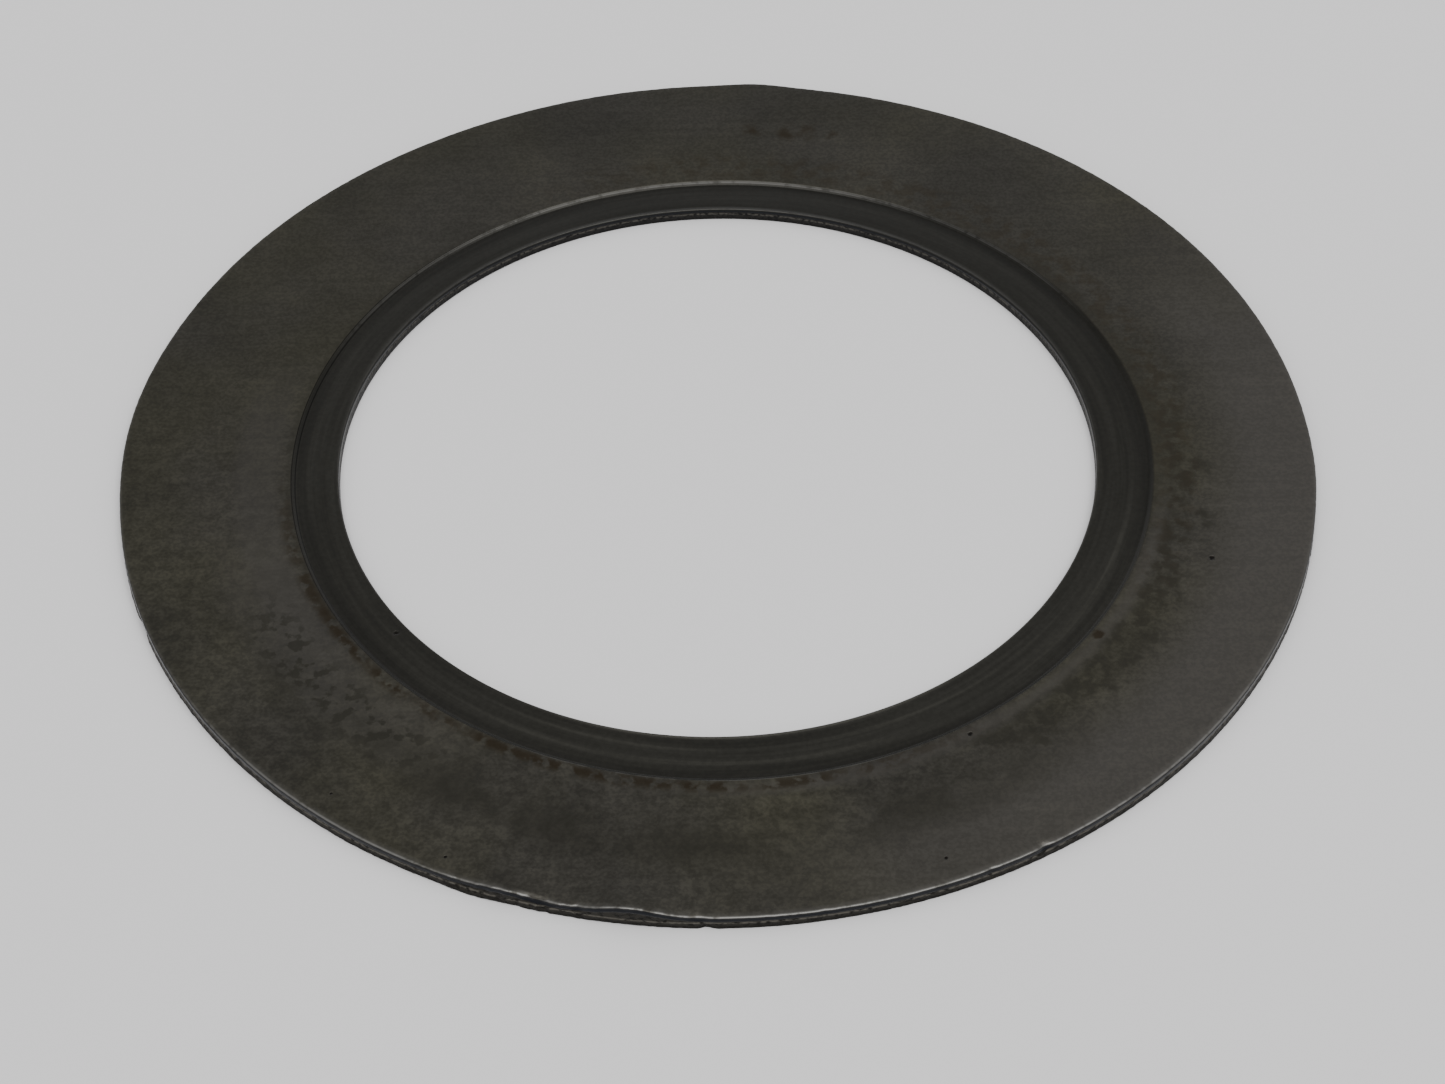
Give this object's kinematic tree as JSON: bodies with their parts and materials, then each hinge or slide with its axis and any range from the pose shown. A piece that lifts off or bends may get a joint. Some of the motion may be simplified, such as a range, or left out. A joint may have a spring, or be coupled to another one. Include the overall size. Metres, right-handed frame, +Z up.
{
  "type": "recessed shield ring",
  "caption": "Flat blanked steel ring with a shallow recess around its bore, bare metal under a dark oily patina.",
  "frame": {"origin": "centre of the outer edge, on the flat underside that the ring rests on", "axes": "+Z up along the ring's axis, out of the recessed face; +X to the side where the recess is widest"},
  "size_m": [0.1396, 0.1396, 0.0016],
  "materials": {
    "oiled_steel": "bare steel with a dark oily patina, light rust stains and worn bright edges"
  },
  "bodies": {
    "root": {"shield_ring": "oiled_steel"}
  },
  "joints": []
}
